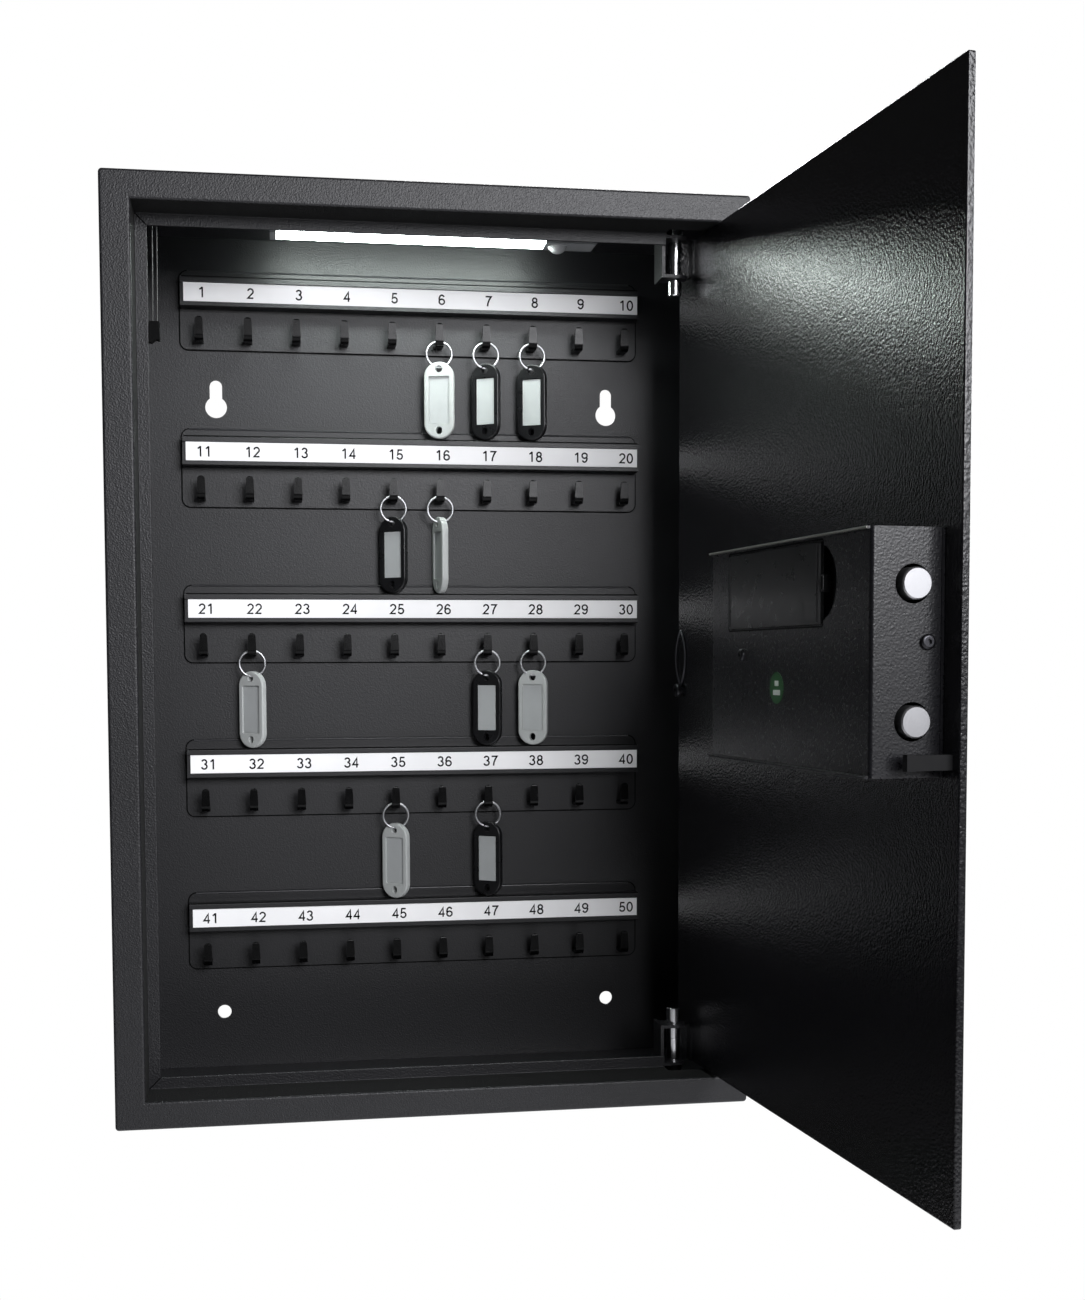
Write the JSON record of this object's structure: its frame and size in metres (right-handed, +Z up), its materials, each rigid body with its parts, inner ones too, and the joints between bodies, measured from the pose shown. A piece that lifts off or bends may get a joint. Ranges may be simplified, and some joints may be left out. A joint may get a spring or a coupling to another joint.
{
  "type": "key cabinet",
  "caption": "Wall-mounted steel key cabinet with an electronic lock on its hinged door, numbered hook rails, key tags on rings and an interior light bar.",
  "frame": {"origin": "centre of the back face, which rests on the wall", "axes": "+X to the right seen from the front, +Y into the wall, +Z up; the open front faces -Y"},
  "size_m": [0.4014, 0.4218, 0.55],
  "materials": {
    "shell_paint": "textured powder coat, dark charcoal",
    "door_paint": "semi-gloss textured black powder coat",
    "rail_paint": "fine textured powder coat, dark grey",
    "hook_black": "satin black coating",
    "strip_white": "printed white plastic strip",
    "lens": "lit opal diffuser",
    "light_grey": "grey moulding",
    "dome_white": "pearly dome",
    "pin_chrome": "bright plated",
    "zinc": "zinc plated",
    "spring_steel": "drawn wire",
    "bolt_steel": "turned and nickel plated",
    "housing_paint": "fine textured powder coat",
    "black_plastic": "moulded black plastic",
    "cover_plastic": "smooth dark plastic",
    "keypad_glass": "gloss touch panel",
    "cell_jacket": "printed battery jacket",
    "board_green": "solder mask",
    "coil_steel": "plated frame",
    "knob_metal": "satin",
    "plug_brass": "nickelled brass",
    "tag_white": "moulded white",
    "tag_black": "moulded black",
    "ring_steel": "bright wire"
  },
  "bodies": {
    "cabinet": {"left_side_panel": "shell_paint", "right_side_panel": "shell_paint", "top_panel": "shell_paint", "bottom_panel": "shell_paint", "back_panel": "shell_paint", "hinge_brackets": "shell_paint", "number_strips": "strip_white", "led_housing": "light_grey", "led_diffuser": "lens", "led_sensor_dome": "dome_white", "hook_rail_1": "rail_paint", "hook_rail_2": "rail_paint", "hook_rail_3": "rail_paint", "hook_rail_4": "rail_paint", "hook_rail_5": "rail_paint", "hooks_row_1": "hook_black", "hooks_row_2": "hook_black", "hooks_row_3": "hook_black", "hooks_row_4": "hook_black", "hooks_row_5": "hook_black"},
    "door": {"door_panel": "door_paint", "hinge_pins": "pin_chrome", "hinge_lugs": "door_paint", "lock_housing": "housing_paint", "button_screws": "zinc", "bow_spring": "spring_steel", "stop_tab": "black_plastic", "keypad_bezel": "black_plastic", "keypad_face": "keypad_glass", "battery_box": "black_plastic", "batteries": "cell_jacket", "circuit_board": "board_green", "solenoid": "coil_steel"},
    "bolts": {"bolt_carriage": "zinc", "locking_bolts": "bolt_steel"},
    "handle": {"knob": "knob_metal", "knob_shaft": "bolt_steel"},
    "plunger": {"solenoid_plunger": "bolt_steel"},
    "cover": {"battery_cover": "cover_plastic"},
    "override": {"override_plug": "plug_brass"},
    "tag_06": {"key_tag_06": "tag_white", "key_ring_06": "ring_steel"},
    "tag_07": {"key_tag_07": "tag_black", "key_ring_07": "ring_steel"},
    "tag_08": {"key_tag_08": "tag_black", "key_ring_08": "ring_steel"},
    "tag_15": {"key_tag_15": "tag_black", "key_ring_15": "ring_steel"},
    "tag_16": {"key_tag_16": "tag_white", "key_ring_16": "ring_steel"},
    "tag_22": {"key_tag_22": "tag_white", "key_ring_22": "ring_steel"},
    "tag_27": {"key_tag_27": "tag_black", "key_ring_27": "ring_steel"},
    "tag_28": {"key_tag_28": "tag_white", "key_ring_28": "ring_steel"},
    "tag_35": {"key_tag_35": "tag_white", "key_ring_35": "ring_steel"},
    "tag_37": {"key_tag_37": "tag_black", "key_ring_37": "ring_steel"}
  },
  "joints": [
    {"name": "door_hinge", "type": "hinge", "parent": "cabinet", "child": "door", "pos_m": [0.153, -0.1015, 0], "axis": [0, 0, 1], "range_deg": [-96.4, 1]},
    {"name": "knob_turn", "type": "hinge", "parent": "door", "child": "handle", "pos_m": [0.18869, -0.32995, -0.02], "axis": [0.9938, 0.1115, 0], "range_deg": [0, 60]},
    {"name": "bolt_slide", "type": "slide", "parent": "door", "child": "bolts", "axis": [0.1115, -0.9938, 0], "range_m": [0, 0.02]},
    {"name": "plunger_slide", "type": "slide", "parent": "door", "child": "plunger", "axis": [0, 0, 1], "range_m": [-0.004, 0], "stiffness_N_per_m": 150, "springref_m": 0.002},
    {"name": "cover_hinge", "type": "hinge", "parent": "door", "child": "cover", "pos_m": [0.14471, -0.25458, 0.0329], "axis": [0, 0, -1], "range_deg": [0, 100]},
    {"name": "override_turn", "type": "hinge", "parent": "door", "child": "override", "pos_m": [0.18244, -0.27429, -0.02], "axis": [-0.9938, -0.1115, 0], "range_deg": [0, 90]},
    {"name": "tag_06_swing", "type": "hinge", "parent": "cabinet", "child": "tag_06", "pos_m": [0.0156, -0.0125, 0.20885], "axis": [-1, 0, 0], "range_deg": [-1.5, 40]},
    {"name": "tag_07_swing", "type": "hinge", "parent": "cabinet", "child": "tag_07", "pos_m": [0.0468, -0.0125, 0.20885], "axis": [-1, 0, 0], "range_deg": [-1.5, 40]},
    {"name": "tag_08_swing", "type": "hinge", "parent": "cabinet", "child": "tag_08", "pos_m": [0.078, -0.0125, 0.20885], "axis": [-1, 0, 0], "range_deg": [-1.5, 40]},
    {"name": "tag_15_swing", "type": "hinge", "parent": "cabinet", "child": "tag_15", "pos_m": [-0.0156, -0.0125, 0.10685], "axis": [-1, 0, 0], "range_deg": [-1.5, 40]},
    {"name": "tag_16_swing", "type": "hinge", "parent": "cabinet", "child": "tag_16", "pos_m": [0.0156, -0.0125, 0.10685], "axis": [-1, 0, 0], "range_deg": [-0.5, 40]},
    {"name": "tag_22_swing", "type": "hinge", "parent": "cabinet", "child": "tag_22", "pos_m": [-0.1092, -0.0125, 0.00485], "axis": [-1, 0, 0], "range_deg": [-1.5, 40]},
    {"name": "tag_27_swing", "type": "hinge", "parent": "cabinet", "child": "tag_27", "pos_m": [0.0468, -0.0125, 0.00485], "axis": [-1, 0, 0], "range_deg": [-1.5, 40]},
    {"name": "tag_28_swing", "type": "hinge", "parent": "cabinet", "child": "tag_28", "pos_m": [0.078, -0.0125, 0.00485], "axis": [-1, 0, 0], "range_deg": [-1.5, 40]},
    {"name": "tag_35_swing", "type": "hinge", "parent": "cabinet", "child": "tag_35", "pos_m": [-0.0156, -0.0125, -0.09715], "axis": [-1, 0, 0], "range_deg": [-1.5, 40]},
    {"name": "tag_37_swing", "type": "hinge", "parent": "cabinet", "child": "tag_37", "pos_m": [0.0468, -0.0125, -0.09715], "axis": [-1, 0, 0], "range_deg": [-1.5, 40]}
  ],
  "couplings": [
    {"joint": "knob_turn", "follows": "bolt_slide", "rad_per_m": 52.36}
  ]
}
